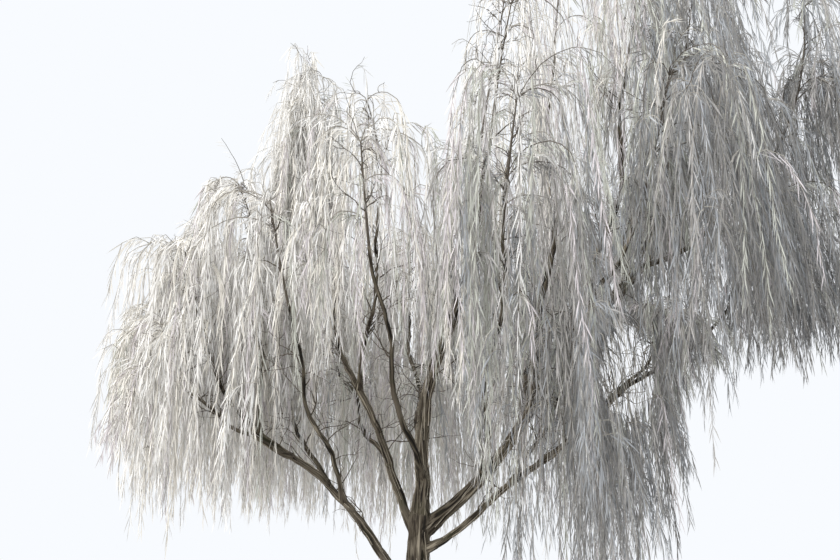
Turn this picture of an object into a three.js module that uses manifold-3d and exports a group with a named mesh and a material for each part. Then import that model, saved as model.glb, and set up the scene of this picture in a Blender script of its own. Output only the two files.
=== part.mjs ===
// A weeping willow with narrow silvery leaves, in millimetres: +Z up, +X to the viewer's right, +Y away,
// and the origin at the middle of the trunk's flat foot. The trunk forks into tapering boughs, and each
// bough ends where it enters one mass of foliage: a stem whose shoots arch over and hang, with blades on
// them that each stand for a spray of leaves.
import * as THREE from "three";
import { mergeVertices } from "three/addons/utils/BufferGeometryUtils.js";
import Module from "manifold-3d";

const wasm = await Module();
wasm.setup();

// Trunk: radii at its foot, breast and fork, and the buttresses that swell out of its foot
const trunk = { height: 1800, foot: 150, breast: 116, fork: 94, bow: 26, sides: 15, rings: 12 };
const buttress = { count: 5, height: 460, swell: 0.62, turn: 0.4, between: 0.45 };

// Boughs. on is the limb that each springs from, and at the share along it. aim is the tip's heading about
// the trunk in degrees, from +X towards +Y, and reach and height place the tip. rise and end are the climb in
// degrees at its start and at its tip, and girth is its radius where it starts.
const boughs = {
  left: { on: "trunk", at: 0.55, aim: 183, reach: 2000, height: 3500, rise: 67, end: 74, girth: 48 },
  innerLeft: { on: "trunk", at: 0.9, aim: 168, reach: 970, height: 4700, rise: 62, end: 80, girth: 44 },
  leader: { on: "trunk", at: 0.94, aim: 20, reach: 640, height: 5500, rise: 88, end: 84, girth: 74 },
  right: { on: "trunk", at: 0.93, aim: 2, reach: 2450, height: 5500, rise: 42, end: 78, girth: 64 },
  lowRight: { on: "trunk", at: 0.84, aim: 338, reach: 2000, height: 3000, rise: 22, end: 34, girth: 38 },
  leftLow: { on: "left", at: 0.55, aim: 199, reach: 2080, height: 2850, rise: 10, end: 28, girth: 22 },
  leftFront: { on: "left", at: 0.36, aim: 230, reach: 1680, height: 3500, rise: 44, end: 62, girth: 24 },
  leftBack: { on: "left", at: 0.42, aim: 142, reach: 1950, height: 3650, rise: 40, end: 62, girth: 24 },
  leftRise: { on: "left", at: 0.66, aim: 172, reach: 1560, height: 4150, rise: 78, end: 84, girth: 22 },
  frontLeft: { on: "leader", at: 0.12, aim: 257, reach: 1800, height: 3900, rise: 40, end: 58, girth: 32 },
  back: { on: "leader", at: 0.18, aim: 93, reach: 2150, height: 4050, rise: 42, end: 60, girth: 34 },
  innerFront: { on: "innerLeft", at: 0.45, aim: 236, reach: 640, height: 4650, rise: 58, end: 82, girth: 22 },
  backLeft: { on: "innerLeft", at: 0.22, aim: 117, reach: 2080, height: 3700, rise: 36, end: 60, girth: 26 },
  crownFront: { on: "leader", at: 0.42, aim: 307, reach: 1050, height: 5150, rise: 54, end: 78, girth: 30 },
  crownBack: { on: "leader", at: 0.5, aim: 56, reach: 1650, height: 5500, rise: 48, end: 72, girth: 30 },
  front: { on: "right", at: 0.16, aim: 289, reach: 2020, height: 4050, rise: 36, end: 58, girth: 32 },
  top: { on: "right", at: 0.34, aim: 6, reach: 1330, height: 6350, rise: 84, end: 86, girth: 40 },
  backRight: { on: "right", at: 0.3, aim: 58, reach: 2550, height: 4350, rise: 36, end: 58, girth: 32 },
  rightFront: { on: "right", at: 0.36, aim: 321, reach: 2350, height: 4350, rise: 34, end: 56, girth: 30 },
  topFront: { on: "right", at: 0.52, aim: 338, reach: 2000, height: 5750, rise: 62, end: 80, girth: 28 },
  rightBack: { on: "right", at: 0.58, aim: 29, reach: 3150, height: 5200, rise: 30, end: 56, girth: 28 },
  farRight: { on: "right", at: 0.68, aim: 1, reach: 3450, height: 5350, rise: 22, end: 60, girth: 30 },
  lowFront: { on: "lowRight", at: 0.42, aim: 312, reach: 1780, height: 2900, rise: 30, end: 48, girth: 22 },
  lowOuter: { on: "lowRight", at: 0.56, aim: 353, reach: 2980, height: 3900, rise: 40, end: 52, girth: 24 },
};

// Every bough's tip radius, its facets, how its curve is drawn, and the gap that it keeps to other limbs
const boughForm = { tip: 13, taper: 0.8, sides: 5, rings: 6, handle: 0.36, clear: 0.4 };
const wander = { swing: 0.022, points: 12, across: 9, upward: 8, seed: 500 };

// Masses of foliage, one at the tip of each bough. top is the height of its crest, spread how far its
// shoots reach from the stem, and fan the angle in degrees that they cover about the bough's heading.
const masses = {
  left: { top: 4400, spread: 700, fan: 210 },
  innerLeft: { top: 6270, spread: 430, fan: 300 },
  leader: { top: 7150, spread: 720, fan: 330 },
  right: { top: 7250, spread: 880, fan: 330 },
  lowRight: { top: 3650, spread: 700, fan: 250 },
  leftLow: { top: 3500, spread: 520, fan: 190 },
  leftFront: { top: 4550, spread: 780, fan: 200 },
  leftBack: { top: 4750, spread: 900, fan: 210 },
  leftRise: { top: 5120, spread: 640, fan: 300 },
  frontLeft: { top: 4950, spread: 950, fan: 210 },
  back: { top: 5300, spread: 1000, fan: 210 },
  innerFront: { top: 5950, spread: 740, fan: 300 },
  backLeft: { top: 4900, spread: 950, fan: 210 },
  crownFront: { top: 6550, spread: 850, fan: 280 },
  crownBack: { top: 7000, spread: 950, fan: 280 },
  front: { top: 5250, spread: 980, fan: 210 },
  top: { top: 8000, spread: 880, fan: 360 },
  backRight: { top: 5650, spread: 1000, fan: 220 },
  rightFront: { top: 5650, spread: 980, fan: 220 },
  topFront: { top: 7000, spread: 880, fan: 300 },
  rightBack: { top: 6850, spread: 1000, fan: 230 },
  farRight: { top: 7050, spread: 1050, fan: 220 },
  lowFront: { top: 3550, spread: 720, fan: 240 },
  lowOuter: { top: 4850, spread: 820, fan: 220 },
};
const massSeed = { first: 9000, step: 37 };

// Stem of a mass: its radius, its least climb, and how far it leans out as shares of climb and spread
const stem = { radius: 13, leastClimb: 140, lean: 0.35, leanLimit: 0.3, rings: 4 };

// Shoots climb at launch degrees, arch over and hang. Every second one leaves the stem lower down.
const shoot = { count: 5, launch: 62, flattest: 0.8, least: 0.72, turn: 7, lower: 0.72, radius: 11, end: 7 };
const hang = { archSteps: 3, step: 1400, sway: 0.1 };

// A hanger leaves every other shoot below its crest. Its drop is a share of what the shoot has left.
const hanger = { launch: 8, bend: 0.42, turn: 35, least: 0.35, most: 0.75 };

// Blade: turn and droop are its headings beside its shoot and its slope in degrees, and first is where the
// first one sits, as a share of the gap between them
const blade = { length: 980, width: 190, thick: 22, sunk: 30, gap: 1400, widest: 0.42 };
const bladeRange = { turn: [50, 110], droop: [77, 87], sizes: [0.8, 1.15], first: [0.5, 1] };

// The hem is the height where the curtains end. It is high on the right side, and parted before the trunk.
const hem = { low: 1300, ragged: 520, high: 2950, highFrom: 1950, highTo: 2500 };
const parting = { height: 2650, from: 690, to: 1150, front: -300, back: 500 };

// The space of each mass: flatten makes it taller than wide, and curtain is the longest drop
const space = { flatten: 0.3, margin: 8, curtain: 2700, outward: 0.3, fullFan: 270 };

const up = new THREE.Vector3(0, 0, 1);
const { degToRad, radToDeg, lerp, smoothstep } = THREE.MathUtils;

// A seeded source of numbers from 0 to 1, the same on every run
function seeded(seed) {
  let state = seed;
  return () => {
    state = (state + 0x6d2b79f5) >>> 0;
    let mixed = Math.imul(state ^ (state >>> 15), 1 | state);
    mixed = (mixed + Math.imul(mixed ^ (mixed >>> 7), 61 | mixed)) ^ mixed;
    return ((mixed ^ (mixed >>> 14)) >>> 0) / 4294967296;
  };
}

function between(random, [low, high]) {
  return low + (high - low) * random();
}

// A unit vector with a heading and a climb, both in degrees
function towards(heading, climb) {
  const flat = Math.cos(degToRad(climb));
  const turn = degToRad(heading);
  return new THREE.Vector3(flat * Math.cos(turn), flat * Math.sin(turn), Math.sin(degToRad(climb)));
}

// Two unit vectors square to a direction
function sidesOf(direction) {
  const reference = Math.abs(direction.z) > 0.94 ? new THREE.Vector3(0, 1, 0) : up;
  const across = new THREE.Vector3().crossVectors(reference, direction).normalize();
  return [across, new THREE.Vector3().crossVectors(direction, across).normalize()];
}

// The closed solid of a mesh whose faces may still be split along seams
function solidOf(geometry) {
  const bare = new THREE.BufferGeometry();
  bare.setAttribute("position", geometry.getAttribute("position"));
  bare.setIndex(geometry.getIndex());
  const merged = mergeVertices(bare, 1e-4);
  const triVerts = new Uint32Array(merged.getIndex().array);
  const vertProperties = new Float32Array(merged.getAttribute("position").array);
  return new wasm.Manifold(new wasm.Mesh({ numProp: 3, vertProperties, triVerts }));
}

function geometryOf(solid) {
  const { numProp, numVert, vertProperties, triVerts } = solid.getMesh();
  const position = new Float32Array(numVert * 3);
  for (let i = 0; i < numVert; i++) {
    position.set(vertProperties.subarray(i * numProp, i * numProp + 3), i * 3);
  }
  const geometry = new THREE.BufferGeometry();
  geometry.setAttribute("position", new THREE.BufferAttribute(position, 3));
  geometry.setIndex(new THREE.BufferAttribute(new Uint32Array(triVerts), 1));
  const faceted = geometry.toNonIndexed();
  faceted.computeVertexNormals();
  return faceted;
}

// The largest of the loose pieces that a cut or a join may leave
function largestOf(solid) {
  return solid.decompose().reduce((best, piece) => (piece.volume() > best.volume() ? piece : best));
}

// Rings of a limb or a twig: each point of its line with two side vectors carried on without twist
function ringsOf(points, directions) {
  let [across] = sidesOf(directions[0]);
  return points.map((centre, i) => {
    const along = directions[i];
    across = across.clone().addScaledVector(along, -across.dot(along)).normalize();
    return { centre, across, other: new THREE.Vector3().crossVectors(along, across) };
  });
}

// A cylinder bent along rings. radiusAt gives its radius at a share of the length and an angle.
function bentCylinder(rings, sides, radiusAt) {
  const steps = rings.length - 1;
  const geometry = new THREE.CylinderGeometry(1, 1, 1, sides, steps);
  const position = geometry.getAttribute("position");
  for (let i = 0; i < position.count; i++) {
    const share = position.getY(i) + 0.5;
    const { centre, across, other } = rings[Math.round(share * steps)];
    const [x, y] = [position.getZ(i), position.getX(i)];
    const size = Math.hypot(x, y) > 0.5 ? radiusAt(share, Math.atan2(y, x)) : 0;
    const point = centre.clone().addScaledVector(across, x * size).addScaledVector(other, y * size);
    position.setXYZ(i, point.x, point.y, point.z);
  }
  return solidOf(geometry);
}

function limbSolid(line, radiusAt, sides, steps) {
  const shares = Array.from({ length: steps + 1 }, (_, i) => i / steps);
  const points = shares.map((share) => line.getPointAt(share));
  const directions = shares.map((share) => line.getTangentAt(share));
  return bentCylinder(ringsOf(points, directions), sides, radiusAt);
}

// A three-sided twig through straight steps, each ring square to the mean of the steps that meet there
function twigSolid(points, startRadius, endRadius) {
  const steps = points.slice(1).map((point, i) => point.clone().sub(points[i]).normalize());
  const directions = points.map((_, i) =>
    steps[Math.max(0, i - 1)].clone().add(steps[Math.min(steps.length - 1, i)]).normalize(),
  );
  return bentCylinder(ringsOf(points, directions), 3, (share) => lerp(startRadius, endRadius, share));
}

// Trunk: its line bows a little to the left, and its radius swells into buttresses at the foot
function trunkLine(height) {
  const middle = new THREE.Vector3(-trunk.bow, 0, height / 2);
  const rising = new THREE.Vector3(0, 0, height * 0.2);
  return new THREE.CatmullRomCurve3([new THREE.Vector3(), rising, middle, new THREE.Vector3(0, 0, height)]);
}

function trunkRadius(share, angle) {
  const lower = lerp(trunk.foot, trunk.breast, share * 2);
  const upper = lerp(trunk.breast, trunk.fork, share * 2 - 1);
  const low = Math.max(0, 1 - (share * trunk.height) / buttress.height);
  const lobe = 0.5 + 0.5 * Math.cos(buttress.count * (angle + buttress.turn));
  const swell = buttress.swell * low * low * lerp(buttress.between, 1, lobe);
  return (share < 0.5 ? lower : upper) * (1 + swell);
}

// Bough: a curve from the line of its parent to its tip, with a slight seeded wander
function boughLine(bough, parentLine, index) {
  const start = parentLine.getPointAt(bough.at);
  const tip = towards(bough.aim, 0).multiplyScalar(bough.reach).setZ(bough.height);
  const chord = tip.clone().sub(start);
  const length = chord.length();
  const heading = radToDeg(Math.atan2(chord.y, chord.x));
  const first = start.clone().addScaledVector(towards(heading, bough.rise), length * boughForm.handle);
  const last = tip.clone().addScaledVector(towards(heading, bough.end), -length * boughForm.handle);
  const smooth = new THREE.CubicBezierCurve3(start, first, last, tip);
  const random = seeded(wander.seed + index);
  const [phaseAcross, phaseUp] = [random() * Math.PI * 2, random() * Math.PI * 2];
  const [across, other] = sidesOf(chord.normalize());
  const points = [];
  for (let i = 0; i <= wander.points; i++) {
    const share = i / wander.points;
    const swing = length * wander.swing * Math.sin(Math.PI * share);
    const point = smooth.getPoint(share);
    point.addScaledVector(across, swing * Math.sin(phaseAcross + wander.across * share));
    points.push(point.addScaledVector(other, swing * Math.sin(phaseUp + wander.upward * share)));
  }
  return new THREE.CatmullRomCurve3(points);
}

function boughRadius(bough, share) {
  return lerp(bough.girth, boughForm.tip, Math.pow(share, boughForm.taper));
}

const lines = { trunk: trunkLine(trunk.height) };
Object.entries(boughs).forEach(([name, bough], index) => {
  lines[name] = boughLine(bough, lines[bough.on], index);
});

// Each bough is cut clear of every limb made before it, so that it sits on its parent's bark
function buildLimbs() {
  const solids = { trunk: limbSolid(lines.trunk, trunkRadius, trunk.sides, trunk.rings) };
  const wideTrunk = (share, angle) => trunkRadius(share, angle) + boughForm.clear;
  const grown = [limbSolid(trunkLine(trunk.height + boughForm.clear), wideTrunk, trunk.sides, trunk.rings)];
  for (const [name, bough] of Object.entries(boughs)) {
    const radius = (share) => boughRadius(bough, share);
    const wide = (share) => radius(share) + boughForm.clear;
    let solid = limbSolid(lines[name], radius, boughForm.sides, boughForm.rings);
    for (const earlier of grown) solid = solid.subtract(earlier);
    solids[name] = largestOf(solid);
    grown.push(limbSolid(lines[name], wide, boughForm.sides, boughForm.rings));
  }
  return { solids, wood: wasm.Manifold.union(grown) };
}

const limbs = buildLimbs();

function clearOfWood(solid) {
  return solid.intersect(limbs.wood).isEmpty();
}

// Height of the hem under a point
function hemAt(x, y) {
  const rightward = smoothstep(x, hem.highFrom, hem.highTo);
  const fromMiddle = smoothstep(Math.abs(x), parting.from, parting.to);
  const parted = (1 - fromMiddle) * (1 - smoothstep(y, parting.front, parting.back));
  const raised = (parting.height - hem.low) * parted * (1 - rightward);
  return hem.low + (hem.high - hem.low) * rightward + raised;
}

// Stem of a mass: square to the bough's tip at its foot, it climbs to the knot where the shoots launch
function stemOf(name) {
  const tip = lines[name].getPointAt(1);
  const along = lines[name].getTangentAt(1);
  const mass = masses[name];
  const bend = mass.spread / (1 + Math.sin(degToRad(shoot.launch)));
  const crest = bend * (1 - Math.cos(degToRad(shoot.launch)));
  const climb = Math.max(mass.top - crest - tip.z, stem.leastClimb);
  const lean = Math.min(climb * stem.lean, mass.spread * stem.leanLimit);
  const foot = tip.clone().addScaledVector(along, boughForm.clear);
  const collar = foot.clone().addScaledVector(along, 2 * stem.radius);
  const knot = tip.clone().addScaledVector(towards(boughs[name].aim, 0), lean).setZ(tip.z + climb);
  const curve = new THREE.QuadraticBezierCurve3(collar, foot.clone().addScaledVector(along, climb / 2), knot);
  return { foot, curve, knot, bend };
}

const stems = Object.fromEntries(Object.keys(masses).map((name) => [name, stemOf(name)]));

// The space of a mass is all above the hem that lies nearer its own centre than any other's
const centres = Object.fromEntries(
  Object.entries(masses).map(([name, mass]) => {
    const outward = mass.fan < space.fullFan ? mass.spread * space.outward : 0;
    const centre = stems[name].knot.clone().addScaledVector(towards(boughs[name].aim, 0), outward);
    const foot = Math.max(hemAt(centre.x, centre.y), mass.top - space.curtain);
    return [name, centre.setZ((mass.top + foot) / 2)];
  }),
);

function nearness(point, centre) {
  return Math.hypot(point.x - centre.x, point.y - centre.y, (point.z - centre.z) * space.flatten);
}

function insideSpace(name, point, reach) {
  const own = nearness(point, centres[name]) + 2 * (space.margin + reach);
  const others = Object.keys(centres).filter((other) => other !== name);
  const nearest = others.every((other) => nearness(point, centres[other]) > own);
  return nearest && point.z > hemAt(point.x, point.y);
}

// A twig's line: it launches, arches over to straight down and hangs until the foot height
function hangingLine(start, heading, launch, bend, foot, random) {
  const points = [start.clone()];
  const sway = new THREE.Vector3(random() - 0.5, random() - 0.5, 0).multiplyScalar(hang.sway);
  const centre = start.clone().addScaledVector(towards(heading, launch - 90), bend);
  for (let i = 1; i <= hang.archSteps; i++) {
    const angle = 90 + launch - ((launch + 90) * i) / hang.archSteps;
    points.push(centre.clone().addScaledVector(towards(heading, angle), bend));
  }
  let last = points[points.length - 1];
  while (last.z - hang.step / 2 > foot) {
    const step = Math.min(hang.step, last.z - foot);
    last = last.clone().addScaledVector(sway, step).setZ(last.z - step);
    points.push(last);
  }
  return points;
}

// The stretch of a twig that stays in its space and off the wood, if it still hangs
function grownTwig(name, points, startRadius, endRadius) {
  const stop = points.findIndex((point) => !insideSpace(name, point, startRadius));
  for (let length = stop < 0 ? points.length : stop; length > 2; length--) {
    const line = points.slice(0, length);
    const solid = twigSolid(line, startRadius, endRadius);
    if (clearOfWood(solid)) return { line, solid };
  }
  return null;
}

// A blade of eight faces, widest before its middle, from a root sunk in its twig to a hanging point
function bladeSolid(name, root, heading, droop, size) {
  const along = towards(heading, -droop);
  const [across, through] = sidesOf(along);
  const geometry = new THREE.OctahedronGeometry(1);
  const position = geometry.getAttribute("position");
  const points = [];
  for (let i = 0; i < position.count; i++) {
    const share = position.getX(i) === 0 ? blade.widest : (position.getX(i) + 1) / 2;
    const point = root.clone().addScaledVector(along, share * blade.length * size - blade.sunk);
    point.addScaledVector(across, (position.getY(i) * blade.width * size) / 2);
    point.addScaledVector(through, (position.getZ(i) * blade.thick) / 2);
    position.setXYZ(i, point.x, point.y, point.z);
    points.push(point);
  }
  const solid = solidOf(geometry);
  return points.every((point) => insideSpace(name, point, 0)) && clearOfWood(solid) ? solid : null;
}

// Blades set along a twig, on one side and then the other
function bladesOn(name, points, heading, random) {
  const path = new THREE.CurvePath();
  points.slice(1).forEach((point, i) => path.add(new THREE.LineCurve3(points[i], point)));
  const length = path.getLength();
  const solids = [];
  let side = 1;
  for (let at = blade.gap * between(random, bladeRange.first); at < length; at += blade.gap) {
    const turn = heading + side * between(random, bladeRange.turn);
    const droop = between(random, bladeRange.droop);
    const size = between(random, bladeRange.sizes);
    const solid = bladeSolid(name, path.getPointAt(at / length), turn, droop, size);
    if (solid) solids.push(solid);
    side = -side;
  }
  return solids;
}

// A mass: its stem, its shoots with a hanger on every other one, and their blades, fused into one solid
function massSolid(name, index) {
  const mass = masses[name];
  const random = seeded(massSeed.first + massSeed.step * index);
  const { foot: base, curve, knot, bend } = stems[name];
  const pieces = [twigSolid([base, ...curve.getPoints(stem.rings)], stem.radius, shoot.radius)];
  for (let i = 0; i < shoot.count; i++) {
    const turn = mass.fan * ((i + 0.5) / shoot.count - 0.5) + between(random, [-shoot.turn, shoot.turn]);
    const heading = boughs[name].aim + turn;
    const start = i % 2 ? curve.getPoint(shoot.lower) : knot.clone().addScaledVector(up, -shoot.radius / 2);
    const size = bend * between(random, [shoot.least, 1]);
    const below = start.clone().addScaledVector(towards(heading, 0), size);
    const foot = Math.max(hemAt(below.x, below.y), mass.top - space.curtain) + hem.ragged * random();
    const launch = shoot.launch * between(random, [shoot.flattest, 1]);
    const arch = hangingLine(start, heading, launch, size, foot, random);
    const grown = grownTwig(name, arch, shoot.radius, shoot.end);
    if (!grown) continue;
    pieces.push(grown.solid, ...bladesOn(name, grown.line, heading, random));
    if (i % 2) continue;
    const fork = grown.line[1].clone().lerp(grown.line[2], 0.5);
    const drop = (fork.z - foot) * between(random, [hanger.least, hanger.most]);
    const aside = heading + between(random, [-hanger.turn, hanger.turn]);
    const side = hangingLine(fork, aside, hanger.launch, size * hanger.bend, fork.z - drop, random);
    const hung = grownTwig(name, side, shoot.end, shoot.end);
    if (hung) pieces.push(hung.solid, ...bladesOn(name, hung.line, heading, random));
  }
  return largestOf(wasm.Manifold.union(pieces));
}

// The tree: bark-brown limbs and pale silver foliage
const bark = new THREE.MeshStandardMaterial({ color: 0x6f6455, roughness: 0.92, metalness: 0 });
const foliage = new THREE.MeshStandardMaterial({ color: 0xc9c5bd, roughness: 0.7, metalness: 0 });

function named(name, solid, material) {
  const mesh = new THREE.Mesh(geometryOf(solid), material);
  mesh.name = name;
  return mesh;
}

function snake(name) {
  return name.replace(/[A-Z]/g, (letter) => `_${letter.toLowerCase()}`);
}

const tree = new THREE.Group();
const wood = new THREE.Group();
const leafage = new THREE.Group();
tree.add(wood, leafage);
wood.add(named("trunk", limbs.solids.trunk, bark));
Object.keys(boughs).forEach((name) => wood.add(named(`bough_${snake(name)}`, limbs.solids[name], bark)));
Object.keys(masses).forEach((name, index) => {
  leafage.add(named(`foliage_${snake(name)}`, massSolid(name, index), foliage));
});

export default tree;
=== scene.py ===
# Weeping willow with narrow silvery leaves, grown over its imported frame. Metres, +Z up, -Y towards the viewer.
import math

import bmesh
import bpy
import numpy as np
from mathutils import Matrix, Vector, noise


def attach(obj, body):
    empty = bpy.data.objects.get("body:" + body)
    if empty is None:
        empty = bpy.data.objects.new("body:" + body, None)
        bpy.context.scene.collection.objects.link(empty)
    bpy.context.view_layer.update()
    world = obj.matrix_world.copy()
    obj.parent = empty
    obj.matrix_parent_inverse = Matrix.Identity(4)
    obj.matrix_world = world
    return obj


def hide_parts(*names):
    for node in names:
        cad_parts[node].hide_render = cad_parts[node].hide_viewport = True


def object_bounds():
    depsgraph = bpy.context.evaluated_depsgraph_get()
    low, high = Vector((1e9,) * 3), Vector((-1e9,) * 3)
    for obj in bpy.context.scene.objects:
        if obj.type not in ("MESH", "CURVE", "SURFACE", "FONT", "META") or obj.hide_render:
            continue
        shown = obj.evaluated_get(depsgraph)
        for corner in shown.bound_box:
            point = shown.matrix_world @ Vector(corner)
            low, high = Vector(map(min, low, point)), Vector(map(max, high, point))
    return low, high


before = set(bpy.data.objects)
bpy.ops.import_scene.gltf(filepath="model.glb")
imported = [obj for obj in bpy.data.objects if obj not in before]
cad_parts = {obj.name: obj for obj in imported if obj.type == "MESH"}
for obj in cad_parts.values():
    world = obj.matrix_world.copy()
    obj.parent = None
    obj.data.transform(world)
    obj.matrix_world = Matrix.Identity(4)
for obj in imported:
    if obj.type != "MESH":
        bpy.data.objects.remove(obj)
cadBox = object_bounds()
print("frame loaded:", len(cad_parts), "nodes")

viewPoint = (0, -11.4, 1.6)

# Trunk and boughs, by the rule and sizes of the frame's own solids
trunkForm = dict(height=1.8, foot=0.15, breast=0.116, fork=0.094, bow=0.026, bowFrom=0.15)
buttress = dict(count=5, height=0.46, swell=0.62, turn=0.4, between=0.45)

# on and at: the parent limb and the share along it. aim: the tip's heading about the trunk in degrees.
# reach and height: where the tip is. rise and end: the climb at the start and at the tip. girth: first radius.
boughColumns = ("on", "at", "aim", "reach", "height", "rise", "end", "girth")
boughRows = {
    "left": ("trunk", 0.55, 183, 2.0, 3.5, 67, 74, 0.048),
    "innerLeft": ("trunk", 0.9, 168, 0.97, 4.7, 62, 80, 0.044),
    "leader": ("trunk", 0.94, 20, 0.64, 5.5, 88, 84, 0.074),
    "right": ("trunk", 0.93, 2, 2.45, 5.5, 42, 78, 0.064),
    "lowRight": ("trunk", 0.84, 338, 2.0, 3.0, 22, 34, 0.038),
    "leftLow": ("left", 0.55, 199, 2.08, 2.85, 10, 28, 0.022),
    "leftFront": ("left", 0.36, 230, 1.68, 3.5, 44, 62, 0.024),
    "leftBack": ("left", 0.42, 142, 1.95, 3.65, 40, 62, 0.024),
    "leftRise": ("left", 0.66, 172, 1.56, 4.15, 78, 84, 0.022),
    "frontLeft": ("leader", 0.12, 257, 1.8, 3.9, 40, 58, 0.032),
    "back": ("leader", 0.18, 93, 2.15, 4.05, 42, 60, 0.034),
    "innerFront": ("innerLeft", 0.45, 236, 0.64, 4.65, 58, 82, 0.022),
    "backLeft": ("innerLeft", 0.22, 117, 2.08, 3.7, 36, 60, 0.026),
    "crownFront": ("leader", 0.42, 307, 1.05, 5.15, 54, 78, 0.03),
    "crownBack": ("leader", 0.5, 56, 1.65, 5.5, 48, 72, 0.03),
    "front": ("right", 0.16, 289, 2.02, 4.05, 36, 58, 0.032),
    "top": ("right", 0.34, 6, 1.33, 6.35, 84, 86, 0.04),
    "backRight": ("right", 0.3, 58, 2.55, 4.35, 36, 58, 0.032),
    "rightFront": ("right", 0.36, 321, 2.35, 4.35, 34, 56, 0.03),
    "topFront": ("right", 0.52, 338, 2.0, 5.75, 62, 80, 0.028),
    "rightBack": ("right", 0.58, 29, 3.15, 5.2, 30, 56, 0.028),
    "farRight": ("right", 0.68, 1, 3.45, 5.35, 22, 60, 0.03),
    "lowFront": ("lowRight", 0.42, 312, 1.78, 2.9, 30, 48, 0.022),
    "lowOuter": ("lowRight", 0.56, 353, 2.98, 3.9, 40, 52, 0.024),
}
boughs = {name: dict(zip(boughColumns, row)) for name, row in boughRows.items()}
boughForm = dict(tip=0.013, taper=0.8, handle=0.36, steps=96)
wander = dict(swing=0.022, across=9, upward=8, seed=500)


def unit(vector):
    return vector / np.linalg.norm(vector, axis=-1, keepdims=True)


# Unit vectors with a heading and a climb in degrees, each a number or an array
def towards(heading, climb):
    turn, lift = np.broadcast_arrays(np.radians(heading), np.radians(climb))
    return np.stack([np.cos(lift) * np.cos(turn), np.cos(lift) * np.sin(turn), np.sin(lift)], axis=-1)


def smoothstep(value, low, high):
    share = np.clip((value - low) / (high - low), 0, 1)
    return share * share * (3 - 2 * share)


def riseAndFall(value, rise, fall):
    return smoothstep(value, *rise) * (1 - smoothstep(value, *fall))


# The frame's own seeded numbers from 0 to 1
def seeded(seed):
    state = seed

    def draw():
        nonlocal state
        state = (state + 0x6D2B79F5) & 0xFFFFFFFF
        mixed = ((state ^ (state >> 15)) * (1 | state)) & 0xFFFFFFFF
        mixed = ((mixed + (mixed ^ (mixed >> 7)) * (61 | mixed)) & 0xFFFFFFFF) ^ mixed
        return (mixed ^ (mixed >> 14)) / 4294967296

    return draw


# Above this upward share of a direction, its sides are taken from Y instead of Z
steep = 0.94


# Two unit vectors square to a direction
def sidesOf(direction):
    reference = np.array([0.0, 1.0, 0.0] if abs(direction[2]) > steep else [0.0, 0.0, 1.0])
    across = unit(np.cross(reference, direction))
    return across, np.cross(direction, across)


def lengthsAlong(points):
    steps = np.linalg.norm(np.diff(points, axis=0), axis=1)
    return np.concatenate([[0.0], np.cumsum(steps)])


# Places on a line at lengths along it, given the lengths of its own points
def placesOn(points, lengths, at):
    return np.stack([np.interp(at, lengths, points[:, axis]) for axis in range(3)], axis=-1)


def pointAt(points, share):
    lengths = lengthsAlong(points)
    return placesOn(points, lengths, np.asarray(share) * lengths[-1])


def tangentAt(points, share, reach=0.01):
    share = np.asarray(share)
    return unit(pointAt(points, np.minimum(share + reach, 1)) - pointAt(points, np.maximum(share - reach, 0)))


# The trunk bows to the left up to its middle and comes back at its fork
def trunkLine():
    share = np.linspace(0, 1, boughForm["steps"])
    lower = smoothstep(share, trunkForm["bowFrom"], 0.5)
    upper = 1 - np.clip((share - 0.5) * 2, 0, 1) ** 2
    return np.stack([-trunkForm["bow"] * lower * upper, 0 * share, share * trunkForm["height"]], axis=-1)


def boughLine(bough, parent, index):
    start = pointAt(parent, bough["at"])
    tip = towards(bough["aim"], 0) * bough["reach"] + np.array([0, 0, bough["height"]])
    chord = tip - start
    length = np.linalg.norm(chord)
    heading = math.degrees(math.atan2(chord[1], chord[0]))
    first = start + towards(heading, bough["rise"]) * length * boughForm["handle"]
    last = tip - towards(heading, bough["end"]) * length * boughForm["handle"]
    share = np.linspace(0, 1, boughForm["steps"])[:, None]
    rest = 1 - share
    curve = rest**3 * start + 3 * rest**2 * share * first + 3 * rest * share**2 * last + share**3 * tip
    draw = seeded(wander["seed"] + index)
    phaseAcross, phaseUp = draw() * 2 * math.pi, draw() * 2 * math.pi
    across, other = sidesOf(chord / length)
    swing = length * wander["swing"] * np.sin(math.pi * share)
    curve = curve + across * swing * np.sin(phaseAcross + wander["across"] * share)
    return curve + other * swing * np.sin(phaseUp + wander["upward"] * share)


lines = {"trunk": trunkLine()}
for index, (name, bough) in enumerate(boughs.items()):
    lines[name] = boughLine(bough, lines[bough["on"]], index)


def snake(name):
    return "".join("_" + letter.lower() if letter.isupper() else letter for letter in name)


# Materials
def newMaterial(name):
    material = bpy.data.materials.new(name)
    material.use_nodes = True
    return material, material.node_tree, material.node_tree.nodes["Principled BSDF"]


# Puts numbers, colours or other nodes' outputs on a node's sockets
def feed(tree, node, values):
    for socket, value in values.items():
        if isinstance(value, bpy.types.NodeSocket):
            tree.links.new(value, node.inputs[socket])
        else:
            node.inputs[socket].default_value = value


def addNode(tree, kind, values, **settings):
    node = tree.nodes.new("ShaderNode" + kind)
    for setting, value in settings.items():
        setattr(node, setting, value)
    feed(tree, node, values)
    return node


def rampNode(tree, factor, stops):
    ramp = addNode(tree, "ValToRGB", {"Fac": factor})
    elements = ramp.color_ramp.elements
    while len(elements) < len(stops):
        elements.new(0.5)
    for element, (place, colour) in zip(elements, stops):
        element.position = place
        element.color = (*colour, 1)
    return ramp.outputs["Color"]


# Noise on a vector, which stretch turns into long grains
def noiseNode(tree, vector, scale, detail=6.0, stretch=None):
    if stretch:
        vector = addNode(tree, "Mapping", {"Vector": vector, "Scale": stretch}).outputs["Vector"]
    values = {"Vector": vector, "Scale": scale, "Detail": detail, "Roughness": 0.6}
    return addNode(tree, "TexNoise", values).outputs["Fac"]


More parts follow.
